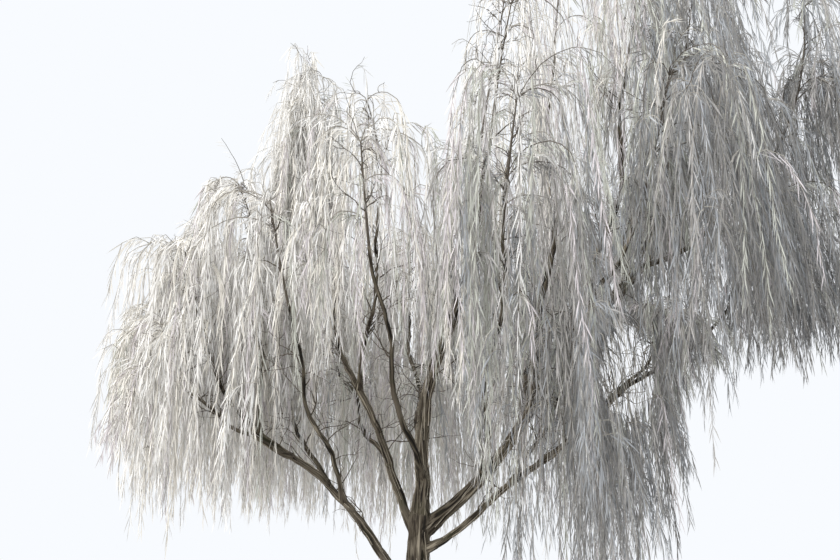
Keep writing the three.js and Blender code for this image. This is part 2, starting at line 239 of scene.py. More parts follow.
# A value times a factor, with a number or another value added
def scaledNode(tree, value, factor, added):
    return addNode(tree, "Math", {0: value, 1: factor, 2: added}, operation="MULTIPLY_ADD").outputs[0]


def mixNode(tree, factor, first, second):
    return addNode(tree, "Mix", {0: factor, 6: first, 7: second}, data_type="RGBA").outputs[2]


# tones: from fissure to ridge, the dark fissures partly the bark's own darker grooves and partly painted shade in
# them. Pale strips and moss lie over them where their ramps say.
barkLook = {
    "tones": [(0.3, (0.011, 0.009, 0.007)), (0.5, (0.05, 0.04, 0.029)), (0.74, (0.125, 0.107, 0.081))],
    "fibres": dict(scale=1.6, stretch=(70, 70, 5)),
    "strips": dict(scale=1.4, detail=3, stretch=(26, 26, 1.3)),
    "patches": dict(scale=2.2, detail=4),
    "fibreShare": 0.75,
    "ridgeShare": 0.62,
    "darker": -0.16,
    "strip": (0.36, 0.32, 0.25, 1),
    "stripRamp": [(0.58, (0, 0, 0)), (0.66, (0.8, 0.8, 0.8))],
    "moss": (0.055, 0.057, 0.026, 1),
    "mossRamp": [(0.5, (0, 0, 0)), (0.72, (0.55, 0.55, 0.55))],
    "roughness": 0.9,
    "specular": 0.25,
    "bump": 0.7,
    "bumpDepth": 0.006,
}


def finishBark(tree, shader, colour, height, look):
    bump = addNode(tree, "Bump", {"Height": height, "Strength": look["bump"], "Distance": look["bumpDepth"]})
    feed(tree, shader, {"Base Color": colour, "Roughness": barkLook["roughness"], "Normal": bump.outputs["Normal"]})


# Bark on the "unbent" place of each point, which has the limb's length along Z, and on its "ridge" share
def barkMaterial(look):
    material, tree, shader = newMaterial("fibrousBark")
    place = addNode(tree, "Attribute", {}, attribute_name="unbent").outputs["Vector"]
    ridge = addNode(tree, "Attribute", {}, attribute_name="ridge").outputs["Fac"]
    fibres, strips, patches = [noiseNode(tree, place, **look[kind]) for kind in ("fibres", "strips", "patches")]
    # The ridge share lifts the ramp, so the fissures come out darker: partly the bark's own grooves, partly painted
    # shade
    raised = scaledNode(tree, ridge, look["ridgeShare"], look["darker"])
    colour = rampNode(tree, scaledNode(tree, fibres, look["fibreShare"], raised), look["tones"])
    colour = mixNode(tree, rampNode(tree, patches, look["mossRamp"]), colour, look["moss"])
    colour = mixNode(tree, rampNode(tree, strips, look["stripRamp"]), colour, look["strip"])
    feed(tree, shader, {"Specular IOR Level": look["specular"]})
    finishBark(tree, shader, colour, fibres, look)
    return material


grainBump = dict(bump=0.5, bumpDepth=0.001)
twigBarkLook = {
    "grain": (90, 90, 22),
    "tones": [(0.3, (0.035, 0.027, 0.019)), (0.52, (0.085, 0.068, 0.05)), (0.72, (0.19, 0.165, 0.13))],
}
stripLook = {
    "grain": (160, 160, 14),
    "tones": [(0.3, (0.2, 0.17, 0.125)), (0.5, (0.36, 0.32, 0.255)), (0.7, (0.5, 0.46, 0.38))],
}


# Fine bark in long grains, for branchlets and for the strips that peel from the trunk
def grainMaterial(name, look):
    material, tree, shader = newMaterial(name)
    grain = noiseNode(tree, addNode(tree, "TexCoord", {}).outputs["Object"], 1.0, 4, look["grain"])
    finishBark(tree, shader, rampNode(tree, grain, look["tones"]), grain, grainBump)
    return material


bark = barkMaterial(barkLook)
twigBark = grainMaterial("branchletBark", twigBarkLook)
peeledBark = grainMaterial("peeledBark", stripLook)

# Bark relief: ridges interlace along a limb, folds are the wide swells that twist up it
relief = dict(
    ridge=0.024, stretch=0.26, sunk=0.55, fold=0.05, foldStretch=1.1, folds=0.2, twist=0.7, waver=0.5,
    waverPitch=0.9, depth=0.011, fullRadius=0.075,
)


# Height of the bark over a limb's plain surface, and its ridge share from 0 to 1
def barkHeight(angle, along, radius, seed):
    waver = relief["waver"] * noise.noise(Vector((seed, along * relief["waverPitch"], 0)))
    turned = angle + relief["twist"] * along + waver
    x, y = math.cos(turned) * radius, math.sin(turned) * radius
    fine = Vector((x / relief["ridge"], y / relief["ridge"], along / relief["stretch"] + seed))
    ridge = 1 - 2 * abs(noise.noise(fine))
    wide = Vector((x / relief["fold"], y / relief["fold"], along / relief["foldStretch"] + seed * 3))
    depth = relief["depth"] * min(1, radius / relief["fullRadius"])
    height = depth * (ridge - relief["sunk"]) + relief["folds"] * radius * noise.noise(wide)
    return height, max(0.0, min(1.0, ridge))


# Centres of a limb's rings with their two side vectors, carried on without twist
def ringsOf(points):
    ahead = unit(np.gradient(points, axis=0))
    across, _ = sidesOf(ahead[0])
    acrosses = np.empty_like(points)
    for place, along in enumerate(ahead):
        across = unit(across - along * across.dot(along))
        acrosses[place] = across
    return points, acrosses, np.cross(ahead, acrosses)


# A cylinder cut into rings and bent along them. radiusAt takes a ring's number and an angle, and gives
# the radius there, the length along the limb and the ridge share.
def growTube(rings, radiusAt, sides):
    centres, acrosses, others = rings
    steps = len(centres) - 1
    tube = bmesh.new()
    bmesh.ops.create_cone(tube, cap_ends=True, segments=sides, radius1=1, radius2=1, depth=1)
    uprights = [edge for edge in tube.edges if abs(edge.verts[0].co.z - edge.verts[1].co.z) > 0.5]
    bmesh.ops.subdivide_edges(tube, edges=uprights, cuts=steps - 1, use_grid_fill=True)
    unbent = tube.verts.layers.float_vector.new("unbent")
    ridgeLayer = tube.verts.layers.float.new("ridge")
    for vert in tube.verts:
        ring = round((vert.co.z + 0.5) * steps)
        angle = math.atan2(vert.co.y, vert.co.x)
        radius, along, ridge = radiusAt(ring, angle)
        x, y = math.cos(angle) * radius, math.sin(angle) * radius
        vert[unbent], vert[ridgeLayer] = Vector((x, y, along)), ridge
        vert.co = Vector(centres[ring] + acrosses[ring] * x + others[ring] * y)
    bmesh.ops.recalc_face_normals(tube, faces=tube.faces)
    return tube


def joinInto(whole, part):
    mesh = bpy.data.meshes.new("part")
    part.to_mesh(mesh)
    part.free()
    whole.from_mesh(mesh)
    bpy.data.meshes.remove(mesh)


def meshFrom(work, name):
    for face in work.faces:
        face.smooth = True
    mesh = bpy.data.meshes.new(name)
    work.to_mesh(mesh)
    work.free()
    return mesh


def addObject(name, data):
    made = bpy.data.objects.new(name, data)
    bpy.context.scene.collection.objects.link(made)
    return made


def addPiece(mesh, materials, replaced=()):
    piece = addObject(mesh.name, mesh)
    for material in materials:
        mesh.materials.append(material)
    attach(piece, "root")
    if replaced:
        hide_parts(*replaced)
    print(piece.name, "triangles:", sum(len(face.vertices) - 2 for face in mesh.polygons))


# The trunk tapers to its middle and on to its fork, with buttresses at its foot
def trunkRadius(share, angle):
    lower = trunkForm["foot"] + (trunkForm["breast"] - trunkForm["foot"]) * share * 2
    upper = trunkForm["breast"] + (trunkForm["fork"] - trunkForm["breast"]) * (share * 2 - 1)
    low = max(0.0, 1 - share * trunkForm["height"] / buttress["height"])
    lobe = 0.5 + 0.5 * math.cos(buttress["count"] * (angle + buttress["turn"]))
    swell = buttress["swell"] * low * low * (buttress["between"] + (1 - buttress["between"]) * lobe)
    return (lower if share < 0.5 else upper) * (1 + swell)


def taperedRadius(girth, share):
    return girth + (boughForm["tip"] - girth) * share ** boughForm["taper"]


# swell: how much wider a bough is where it leaves its parent. length: how far that goes.
collars = {"onTrunk": dict(swell=0.3, length=0.2), "onBough": dict(swell=0.5, length=0.11), "fade": 2.2}


def kindOf(name):
    return "onTrunk" if boughs[name]["on"] == "trunk" else "onBough"


# A bough tapers to its tip and swells into a collar where it leaves its parent
def limbRadius(name, along, angle=0.0):
    share = along / limbLengths[name]
    if name == "trunk":
        return trunkRadius(share, angle)
    bough, kind = boughs[name], kindOf(name)
    if kind == "onTrunk":
        inside = trunkForm["fork"]
    else:
        inside = taperedRadius(boughs[bough["on"]]["girth"], bough["at"])
    out = max(0.0, along - inside) / collars[kind]["length"]
    swell = collars[kind]["swell"] * math.exp(-collars["fade"] * out * out)
    return taperedRadius(bough["girth"], share) * (1 + swell)


limbLengths = {name: lengthsAlong(line)[-1] for name, line in lines.items()}
gnarl = dict(depth=0.0208, pitch=3.6, finer=0.4, finerPitch=2.3, calm=8, points=400)
noiseSeed = dict(first=3.0, perLimb=7, perAxis=31)
limbSeeds = {name: noiseSeed["first"] + noiseSeed["perLimb"] * place for place, name in enumerate(lines)}


# A limb's line with small bends added, none at its start and tip
def gnarledLine(name):
    share = np.linspace(0, 1, gnarl["points"])
    points = pointAt(lines[name], share)
    if name == "trunk":
        return points
    along = share * limbLengths[name] * gnarl["pitch"]
    calm = np.minimum(1, gnarl["calm"] * share * (1 - share))
    for axis in range(3):
        seed = limbSeeds[name] + noiseSeed["perAxis"] * axis
        bends = [noise.noise(Vector((seed, at, 0)))
                 + gnarl["finer"] * noise.noise(Vector((seed, 0, gnarl["finerPitch"] * at))) for at in along]
        points[:, axis] += gnarl["depth"] * np.array(bends) * calm
    return points


gnarled = {name: gnarledLine(name) for name in lines}

# The trunk and the limbs about its fork are welded into one skin; past it each limb is a tube of its own
weld = dict(
    middle=(0, 0, 1.75), reach=0.95, samples=200, voxel=0.0088, smooth=5, sides=28, ring=0.03, nearRing=0.01,
    batch=4000, blend=0.012, leastWeight=0.06, below=0.04, floor=0.0004, overlap=0.07, tuck=0.2, tuckPast=0.01,
)


# Length along a limb at which it leaves the welded part, or 0 if it starts outside
def weldedLength(name):
    points = pointAt(lines[name], np.linspace(0, 1, weld["samples"]))
    outside = np.linalg.norm(points - np.array(weld["middle"]), axis=1) > weld["reach"]
    if name == "trunk" or not outside.any():
        return limbLengths[name]
    return limbLengths[name] * outside.argmax() / (weld["samples"] - 1)


# The rings of a limb from one length along it to another
def limbStretch(name, first, last, ringLength):
    along = np.linspace(first, last, max(4, round((last - first) / ringLength)) + 1)
    place, own = along / limbLengths[name] * (gnarl["points"] - 1), np.arange(gnarl["points"])
    centres, acrosses, others = [placesOn(each, own, place) for each in ringsOf(gnarled[name])]
    return along, (centres, unit(acrosses), unit(others))


def weldedSkin(names):
    whole = bmesh.new()
    for name in names:
        along, rings = limbStretch(name, 0, weldedLength(name), weld["ring"])
        if name == "trunk":
            below = rings[0][:1] - np.array([[0, 0, weld["below"]]])
            rings = [np.vstack([below, rings[0]])] + [np.vstack([each[:1], each]) for each in rings[1:]]
            along = np.concatenate([[0], along])

        def radiusAt(ring, angle):
            return limbRadius(name, along[ring], angle), 0, 0

        joinInto(whole, growTube(rings, radiusAt, weld["sides"]))
    rough = addObject("rough", meshFrom(whole, "rough"))
    skin = rough.modifiers.new("skin", "REMESH")
    skin.mode, skin.voxel_size = "VOXEL", weld["voxel"]
    bpy.context.view_layer.update()
    made = bmesh.new()
    made.from_object(rough, bpy.context.evaluated_depsgraph_get())
    bpy.data.objects.remove(rough)
    for _ in range(weld["smooth"]):
        bmesh.ops.smooth_vert(made, verts=made.verts, factor=0.5, use_axis_x=True, use_axis_y=True, use_axis_z=True)
    return made


# For points about a limb: their gap to its skin, their angle about it, how far along it they are and its radius
def aboutLimb(name, points):
    along, (centres, acrosses, others) = limbStretch(name, 0, weldedLength(name), weld["nearRing"])
    nearest = np.empty(len(points), int)
    for start in range(0, len(points), weld["batch"]):
        batch = slice(start, start + weld["batch"])
        nearest[batch] = ((points[batch][:, None] - centres) ** 2).sum(axis=-1).argmin(axis=1)
    away = points - centres[nearest]
    angle = np.arctan2((away * others[nearest]).sum(axis=1), (away * acrosses[nearest]).sum(axis=1))
    radius = np.array([limbRadius(name, one, turn) for one, turn in zip(along[nearest], angle)])
    return np.linalg.norm(away, axis=1) - radius, angle, along[nearest], radius


# Raises the welded skin by the bark of the limbs nearest to each of its points
def raiseSkin(work, names):
    points = np.array([vert.co for vert in work.verts])
    about = [aboutLimb(name, points) for name in names]
    gaps = np.array([each[0] for each in about])
    weights = np.exp(-(gaps - gaps.min(axis=0)) / weld["blend"])
    weights[weights < weld["leastWeight"]] = 0
    weights /= weights.sum(axis=0)
    unbent = work.verts.layers.float_vector.new("unbent")
    ridgeLayer = work.verts.layers.float.new("ridge")
    work.normal_update()
    normals = [vert.normal.copy() for vert in work.verts]
    for place, (vert, normal) in enumerate(zip(work.verts, normals)):
        raised, ridge = 0.0, 0.0
        for name, (_, angle, along, radius), weight in zip(names, about, weights[:, place]):
            if weight:
                height, crest = barkHeight(angle[place], along[place], radius[place], limbSeeds[name])
                raised, ridge = raised + weight * height, ridge + weight * crest
        main = weights[:, place].argmax()
        _, angle, along, radius = about[main]
        turn, wide = angle[place], radius[place] + raised
        vert[unbent] = Vector((math.cos(turn) * wide, math.sin(turn) * wide, along[place] + limbSeeds[names[main]]))
        vert[ridgeLayer] = ridge
        vert.co += normal * raised


def addTrunk():
    names = ["trunk"] + [name for name in boughs if weldedLength(name) > 0]
    work = weldedSkin(names)
    raiseSkin(work, names)
    whole = work.verts[:] + work.edges[:] + work.faces[:]
    cut = bmesh.ops.bisect_plane(work, geom=whole, plane_co=(0, 0, weld["floor"]), plane_no=(0, 0, 1),
                                 clear_inner=True)
    rim = [edge for edge in cut["geom_cut"] if isinstance(edge, bmesh.types.BMEdge)]
    bmesh.ops.holes_fill(work, edges=rim, sides=0)
    bmesh.ops.recalc_face_normals(work, faces=work.faces)
    print("welded limbs:", len(names), "faces:", len(work.faces))
    addPiece(meshFrom(work, "bark_trunk"), [bark], ["trunk"])


limbForm = {"onTrunk": dict(sides=34, ring=0.024), "onBough": dict(sides=16, ring=0.034)}


def addLimb(name, whole):
    form = limbForm[kindOf(name)]
    first = weldedLength(name)
    start = max(0.0, first - weld["overlap"])
    along, rings = limbStretch(name, start, limbLengths[name], form["ring"])

    def radiusAt(ring, angle):
        at = along[ring]
        plain = limbRadius(name, at)
        raised, ridge = barkHeight(angle, at, plain, limbSeeds[name])
        tucked = 1 - float(smoothstep(at, start, first + weld["tuckPast"])) if first > 0 else 0
        return (plain + raised) * (1 - weld["tuck"] * tucked), at + limbSeeds[name], ridge

    joinInto(whole, growTube(rings, radiusAt, form["sides"]))


# Masses that share a piece. Their boughs do too, with those of both right regions in one.
regions = {
    "left": ["left", "leftLow", "leftFront", "leftBack", "leftRise"],
    "innerLeft": ["innerLeft", "innerFront", "backLeft"],
    "leader": ["leader", "frontLeft", "back", "crownFront", "crownBack"],
    "right": ["right", "front", "top", "backRight"],
    "farRight": ["rightFront", "topFront", "rightBack", "farRight"],
    "lowRight": ["lowRight", "lowFront", "lowOuter"],
}
limbGroups = dict(regions, right=regions["right"] + regions["farRight"])
del limbGroups["farRight"]
addTrunk()
for group, members in limbGroups.items():
    whole = bmesh.new()
    for member in members:
        addLimb(member, whole)
    replaced = [f"bough_{snake(member)}" for member in members]
    addPiece(meshFrom(whole, f"bark_{snake(group)}_limb"), [bark], replaced)
print("bark made:", 1 + len(limbGroups), "pieces")

# Masses of foliage. top: height of the crest. spread: how far shoots reach. fan: the angle that they cover.
# full: how many shoots beside the others. drop: how far below its top one hangs, where more than a curtain.
massColumns = ("top", "spread", "fan", "full", "drop")
massRows = dict(
    left=(4.4, 0.6, 210, 1.0), innerLeft=(6.27, 0.43, 300, 1.4), leader=(7.15, 0.86, 330, 1.0),
    right=(7.25, 0.88, 330, 1.1), lowRight=(3.65, 0.7, 250, 1.3), leftLow=(3.5, 0.52, 190, 0.7),
    leftFront=(4.55, 0.78, 200, 0.6, 3.0), leftBack=(4.75, 0.9, 210, 1.1, 3.1),
    leftRise=(5.12, 0.64, 300, 0.9, 3.3), frontLeft=(4.95, 0.95, 210, 0.7, 3.1), back=(5.3, 1.0, 210, 1.2, 3.8),
    innerFront=(5.7, 0.74, 300, 1.0), backLeft=(4.9, 0.95, 210, 1.1, 3.3), crownFront=(6.55, 0.98, 280, 1.1),
    crownBack=(7.0, 0.95, 280, 1.1), front=(5.25, 0.98, 210, 1.4, 4.0), top=(8.0, 0.88, 360, 0.9),
    backRight=(5.65, 1.0, 220, 1.5, 4.2), rightFront=(5.65, 0.98, 220, 1.2, 4.3), topFront=(7.0, 0.88, 300, 1.0),
    rightBack=(6.85, 1.0, 230, 1.2), farRight=(7.05, 1.05, 220, 1.2), lowFront=(3.55, 0.72, 240, 2.1),
    lowOuter=(4.85, 0.82, 220, 1.5, 3.6),
)
masses = {name: dict(zip(massColumns, row)) for name, row in massRows.items()}

# Behind the trunk, twigs start further in on the bough and shoots may pass further beyond the next mass
for name in ("leftBack", "back", "backLeft", "crownBack", "backRight"):
    masses[name].update(coreFrom=0.25, stray=0.9)

# plumes: how narrow a crest is. Tone shifts: how much darker a mass is than its place says, below 0 paler, as
# painted light that lifts the shaded masses behind the trunk and low on the right.
plumes = {"innerLeft": 0.4, "innerFront": 0.5}
paintedShadingShifts = {"lowRight": -0.2, "leftBack": -0.2, "back": -0.3, "backLeft": -0.3, "backRight": -0.15}
massPlaces = {name: place for place, name in enumerate(masses)}
massSeed = dict(first=9000, step=37)
stem = dict(radius=0.013, leastClimb=0.14, lean=0.35, leanLimit=0.3, gap=0.0004, points=12, sides=7)

# The hem of the crown is low, deeper right of the middle, high on the far right and parted before the trunk
hem = dict(
    low=1.3, ragged=0.6, clumped=0.6, deeper=0.3, deeperAt=(0.4, 0.9), high=2.95, highAt=(1.85, 2.35), farLeft=0.75,
    farLeftAt=(1.95, 2.6),
)
parting = dict(middle=-0.3, height=2.65, beside=(0.52, 0.9), behind=(-0.3, 0.5))
space = dict(flatten=0.3, curtain=2.7, outward=0.3, fullFan=270, stray=0.26)
shoot = dict(launch=62, flattest=0.5, least=0.3, turn=22, radius=0.0055, end=0.0018)


# Height of the hem under points
def hemAt(x, y):
    rightward = smoothstep(x, *hem["highAt"])
    beside = smoothstep(np.abs(x - parting["middle"]), *parting["beside"])
    parted = (1 - beside) * (1 - smoothstep(y, *parting["behind"]))
    raised = (parting["height"] - hem["low"]) * parted * (1 - rightward)
    deeper = hem["deeper"] * smoothstep(x, *hem["deeperAt"]) * (1 - rightward)
    leftward = hem["farLeft"] * smoothstep(-x, *hem["farLeftAt"])
    return hem["low"] + (hem["high"] - hem["low"]) * rightward + raised - deeper + leftward


# The stem of a mass goes on from its bough's tip to the knot where its shoots launch
def stemOf(name):
    mass = masses[name]
    tip, along = pointAt(lines[name], 1.0), tangentAt(lines[name], 1.0)
    launch = math.radians(shoot["launch"])
    bend = mass["spread"] / (1 + math.sin(launch))
    climb = max(mass["top"] - bend * (1 - math.cos(launch)) - tip[2], stem["leastClimb"])
    lean = min(climb * stem["lean"], mass["spread"] * stem["leanLimit"])
    foot = tip + along * stem["gap"]
    collar = foot + along * 2 * stem["radius"]
    middle = foot + along * climb / 2
    knot = tip + towards(boughs[name]["aim"], 0) * lean + np.array([0, 0, climb])
    share = np.linspace(0, 1, stem["points"])[:, None]
    curve = (1 - share) ** 2 * collar + 2 * share * (1 - share) * middle + share**2 * knot
    return {"line": np.vstack([foot, curve]), "knot": knot, "bend": bend}


stems = {name: stemOf(name) for name in masses}


def centreOf(name):
    mass = masses[name]
    outward = mass["spread"] * space["outward"] if mass["fan"] < space["fullFan"] else 0.0
    centre = stems[name]["knot"] + towards(boughs[name]["aim"], 0) * outward
    foot = max(float(hemAt(centre[0], centre[1])), mass["top"] - space["curtain"])
    centre[2] = (mass["top"] + foot) / 2
    return centre


centres = np.array([centreOf(name) for name in masses])
squeeze = np.array([1, 1, space["flatten"]])


# How much nearer than its own centre the nearest other centre is, for each point of the lines (n, k, 3)
def strayOf(name, points):
    gaps = np.linalg.norm((points[..., None, :] - centres) * squeeze, axis=-1)
    own = gaps[..., massPlaces[name]].copy()
    gaps[..., massPlaces[name]] = np.inf
    return own - gaps.min(axis=-1)


hang = dict(
    archSteps=8, hangSteps=9, sway=0.09, drift=(0.025, 0.15), driftAt=(-0.5, 2.5), wave=0.018, wavePitch=(4, 8),
    splay=0.34, splayReach=0.8, ease=0.6, kink=0.035, least=0.02,
)


# Lines (n, k, 3) that launch, arch over to straight down and hang to their foot heights
def hangingLines(start, heading, launch, bend, foot, random):
    count = len(start)
    centre = start + towards(heading, launch - 90) * bend[:, None]
    points = [start]
    for step in range(1, hang["archSteps"] + 1):
        angle = 90 + launch - (launch + 90) * step / hang["archSteps"]
        points.append(centre + towards(heading, angle) * bend[:, None])
    last = points[-1]
    drop = np.maximum(last[:, 2] - foot, hang["least"])
    inner, outer = hang["drift"]
    drift = inner + (outer - inner) * smoothstep(last[:, 0], *hang["driftAt"])
    splay = drift + hang["splay"] * random.uniform(0, 1, count) * np.exp(-drop / hang["splayReach"])
    sway = random.uniform(-0.5, 0.5, (count, 2)) * hang["sway"] + towards(heading, 0)[:, :2] * splay[:, None]
    phase, pitch = random.uniform(0, 2 * math.pi, (2, count)), random.uniform(*hang["wavePitch"], (2, count))
    for step in range(1, hang["hangSteps"] + 1):
        share = step / hang["hangSteps"]
        point = last.copy()
        ease = share * (1 + hang["ease"] - hang["ease"] * share)
        wave = hang["wave"] * np.sin(phase + pitch * share) * share
        point[:, :2] += sway * (drop * ease)[:, None] + wave.T * drop[:, None]
        point[:, 2] -= drop * share
        points.append(point)
    paths = np.stack(points, axis=1)
    kinks = random.normal(0, hang["kink"], (count, len(points) - 1, 3)) * bend[:, None, None]
    paths[:, 1:] += np.cumsum(kinks, axis=1)
    return paths


# Sky shows between the two upper crowns, and through an opening on the right that only bare twigs cross
skyGap = dict(left=-0.33, right=0.17, point=5.15, widest=5.8, ragged=0.28)
opening = dict(through=(1.88, 0, 3.2), half=(0.26, 0.42), leafless=0.93, stopped=0.72)
leafRoom = 0.03


def inSkyGap(points, shift):
    x, z = points[..., 0] - shift, points[..., 2]
    share = np.clip((z - skyGap["point"]) / (skyGap["widest"] - skyGap["point"]), 0, 1)
    left = skyGap["right"] + (skyGap["left"] - skyGap["right"]) * share
    return (z > skyGap["point"]) & (x > left) & (x < skyGap["right"])


def inOpening(points):
    origin, middle = np.array(viewPoint), np.array(opening["through"])
    share = (points[..., 1] - origin[1]) / (middle[1] - origin[1])
    centre = origin + (middle - origin) * share[..., None]
    wide, tall = opening["half"]
    x, z = (points[..., 0] - centre[..., 0]) / (wide * share), (points[..., 2] - centre[..., 2]) / (tall * share)
    return x * x + z * z < 1


# Kept stretch of each line: up to where it strays from its mass's space, passes the hem or leaves the frame's box
def keptLengths(name, paths, random, free=0):
    margin = masses[name].get("stray", space["stray"])
    stray = strayOf(name, paths) - random.uniform(0, margin, (len(paths), 1)) - free
    outside = (stray > 0) | (paths[..., 2] < hemAt(paths[..., 0], paths[..., 1]))
    outside |= inSkyGap(paths, random.uniform(0, skyGap["ragged"], (len(paths), 1)))
    outside |= inOpening(paths) & (random.uniform(0, 1, (len(paths), 1)) < opening["stopped"])
    low, high = np.array(cadBox[0]), np.array(cadBox[1])
    outside |= ((paths < low + leafRoom) | (paths > high - leafRoom)).any(axis=-1)
    steps = np.linalg.norm(np.diff(paths, axis=1), axis=-1)
    lengths = np.concatenate([np.zeros((len(paths), 1)), np.cumsum(steps, axis=1)], axis=1)
    stop = np.where(outside.any(axis=1), outside.argmax(axis=1), paths.shape[1])
    return lengths, lengths[np.arange(len(paths)), np.maximum(stop - 1, 0)]


# points: on the arch and on the rest, for leaders and for other twigs. The last three: radii at start and end.
twigForm = dict(
    points=((9, 5), (4, 4)), sides=(4, 3), shortest=0.12, archShare=0.6, side=(0.0034, 0.0013),
    core=(0.0042, 0.0014), hung=(0.003, 0.0013),
)


# Each line's kept stretch in a few points, closest together on its arch
def resampled(paths, lengths, kept, points):
    archPoints, hangPoints = points
    out = np.empty((len(paths), archPoints + hangPoints, 3))
    for place, (path, own, keep) in enumerate(zip(paths, lengths, kept)):
        bent = min(own[hang["archSteps"]], keep * twigForm["archShare"])
        rest = bent + (keep - bent) * np.arange(1, hangPoints + 1) / hangPoints
        out[place] = placesOn(path, own, np.concatenate([np.linspace(0, bent, archPoints), rest]))
    return out


# Vertices and quads of many thin tubes at once
def tubeArrays(paths, startRadius, endRadius, sides):
    count, steps = paths.shape[:2]
    ahead = unit(np.gradient(paths, axis=1) + 1e-9)
    reference = np.where(np.abs(ahead[:, :1, 2:]) > steep, np.array([0.0, 1, 0]), np.array([0.0, 0, 1]))
    across = np.empty_like(paths)
    side = np.cross(reference[:, 0], ahead[:, 0])
    for step in range(steps):
        side = unit(side - ahead[:, step] * (side * ahead[:, step]).sum(axis=-1, keepdims=True))
        across[:, step] = side
    other = np.cross(ahead, across)
    share = np.linspace(0, 1, steps)
    radius = startRadius[:, None] * (1 - share) + endRadius[:, None] * share
    angles = np.arange(sides) * 2 * math.pi / sides
    ring = across[:, :, None] * np.cos(angles)[:, None] + other[:, :, None] * np.sin(angles)[:, None]
    verts = paths[:, :, None] + ring * radius[:, :, None, None]
    row, column = np.meshgrid(np.arange(steps - 1), np.arange(sides), indexing="ij")
    following = (column + 1) % sides
    quads = np.stack([row * sides + column, row * sides + following, (row + 1) * sides + following,
                      (row + 1) * sides + column], axis=-1).reshape(-1, 4)
    offsets = np.arange(count)[:, None, None] * steps * sides
    return verts.reshape(-1, 3), (quads[None] + offsets).reshape(-1, 4)


# A mesh from joined arrays. corners is each face's vertices in one row, sizes how many each face has.
def arrayMesh(name, verts, corners, sizes, slots, smooth):
    mesh = bpy.data.meshes.new(name)
    mesh.vertices.add(len(verts))
    mesh.vertices.foreach_set("co", verts.astype(np.float32).ravel())
    mesh.loops.add(len(corners))
    mesh.loops.foreach_set("vertex_index", corners.astype(np.int32))
    mesh.polygons.add(len(sizes))
    starts = np.concatenate([[0], np.cumsum(sizes)[:-1]])
    mesh.polygons.foreach_set("loop_start", starts.astype(np.int32))
    mesh.polygons.foreach_set("material_index", slots.astype(np.int32))
    mesh.polygons.foreach_set("use_smooth", np.full(len(sizes), smooth))
    mesh.update(calc_edges=True)
    mesh.validate()
    return mesh


# One mesh from sets of tubes, each with its vertices, quads and each quad's material
def tubeMesh(name, parts):
    verts, quads, slots, done = [], [], [], 0
    for partVerts, partQuads, partSlots in parts:
        verts.append(partVerts)
        quads.append(partQuads + done)
        slots.append(partSlots)
        done += len(partVerts)
    quads = np.concatenate(quads)
    return arrayMesh(name, np.concatenate(verts), quads.ravel(), np.full(len(quads), 4), np.concatenate(slots), True)


def plainTubes(paths, startRadius, endRadius, sides):
    verts, quads = tubeArrays(paths, startRadius, endRadius, sides)
    return verts, quads, np.zeros(len(quads), int)


# Thin strips that peel from the trunk and lower boughs, most along them and some across
strip = dict(
    count=dict(trunk=56, left=18, innerLeft=12, leader=40, right=22, lowRight=12), reach=1.9, reachShare=0.95,
    first=0.02, leastRange=0.05, length=(0.14, 0.7), width=(0.0022, 0.0055), taper=0.4, lift=0.007,
    uneven=(-0.4, 1), slant=0.4, points=9, sides=4, seed=41,
)


def addStrips():
    random = np.random.default_rng(strip["seed"])
    paths, widths = [], []
    for name, count in strip["count"].items():
        whole = limbLengths[name]
        reach = min(strip["reach"], whole * strip["reachShare"])
        alongAll, (centres, acrosses, others) = limbStretch(name, 0, whole, weld["nearRing"])
        for _ in range(count):
            length = random.uniform(*strip["length"])
            first = random.uniform(strip["first"], max(strip["leastRange"], reach - length))
            share = np.linspace(0, 1, strip["points"])
            along = first + np.linspace(0, length, strip["points"])
            angle = random.uniform(0, 2 * math.pi) + random.normal(0, strip["slant"]) * share
            angle = angle - relief["twist"] * (along - first)
            place = np.clip(np.searchsorted(alongAll, along), 0, len(alongAll) - 1)
            line = []
            for at, turn, one in zip(along, angle, place):
                plain = limbRadius(name, min(at, whole), turn)
                raised, _ = barkHeight(turn, at, plain, limbSeeds[name])
                out = plain + max(raised, 0) + strip["lift"] * random.uniform(*strip["uneven"])
                line.append(centres[one] + (acrosses[one] * math.cos(turn) + others[one] * math.sin(turn)) * out)
            paths.append(np.array(line))
            widths.append(random.uniform(*strip["width"]))
    paths, widths = np.array(paths), np.array(widths)
    tubes = plainTubes(paths, widths, widths * strip["taper"], strip["sides"])
    addPiece(tubeMesh("bark_strips", [tubes]), [peeledBark])
    print("bark strips:", len(paths))


# Leaf: narrow, widest before its middle, drooping to a long point. spacing: between leaves along a twig.
# corners: the share along it and across it of the three points between its root and its tip.
leafForm = dict(
    length=(0.12, 0.21), width=0.062, corners=((0.26, -0.42), (0.44, 0.5), (0.66, -0.36)), spacing=0.028,
    uneven=(0.1, 0.9), bare=0.04, bareShare=0.2, angle=(3, 23), alongTwig=0.6, downward=-0.45, droop=0.08, roll=45,
    spiral=137.5, shorterAtTip=0.35, onSprig=0.6, tangentReach=0.02,
)

# Leaves are few in the airy top of the middle, and where the low right boughs show. In the airy top their tints are
# also dealt paler, as painted light.
airy = dict(z=(4.8, 6.0), left=(-0.7, 0.1), right=(1.1, 2.4), bare=0.6, paler=0.3)
lowAiry = dict(bottom=(1.7, 2.0), top=(2.5, 3.1), left=(0.5, 0.7), right=(1.25, 1.5), bare=0.6)


# How far across a place shows from the front, brought to the trunk's distance
def acrossView(place):
    return place[:, 0] * -viewPoint[1] / (place[:, 1] - viewPoint[1])


# How far a place is in the airy top of the middle, from 0 to 1
def airyAt(place):
    return smoothstep(place[:, 2], *airy["z"]) * riseAndFall(place[:, 0], airy["left"], airy["right"])


# The same for the place where the low right boughs show
def lowAiryAt(place):
    inside = riseAndFall(acrossView(place), lowAiry["left"], lowAiry["right"])
    return inside * riseAndFall(place[:, 2], lowAiry["bottom"], lowAiry["top"]) * (place[:, 1] < 0)


